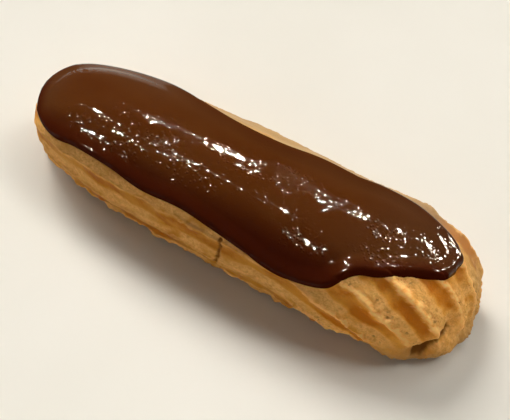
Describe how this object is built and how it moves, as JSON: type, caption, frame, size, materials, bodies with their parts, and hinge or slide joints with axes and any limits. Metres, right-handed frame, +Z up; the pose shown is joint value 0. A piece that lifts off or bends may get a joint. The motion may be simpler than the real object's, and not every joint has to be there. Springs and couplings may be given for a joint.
{
  "type": "chocolate eclair",
  "caption": "Finger of baked choux pastry with piped ridges that fan together at one bare end, under a thick glossy coat of chocolate icing with a wavy edge.",
  "frame": {"origin": "middle of the overall box's footprint, on the surface that the eclair lies on", "axes": "+X along the finger towards its bare end, +Z up, -Y towards the side where the icing hangs lowest"},
  "size_m": [0.1396, 0.0416, 0.0325],
  "materials": {
    "baked_choux": "baked golden crust, matt with a slight sheen on the browned ridges",
    "chocolate": "glossy dark chocolate icing"
  },
  "bodies": {
    "root": {"choux_shell": "baked_choux", "chocolate_icing": "chocolate"}
  },
  "joints": []
}
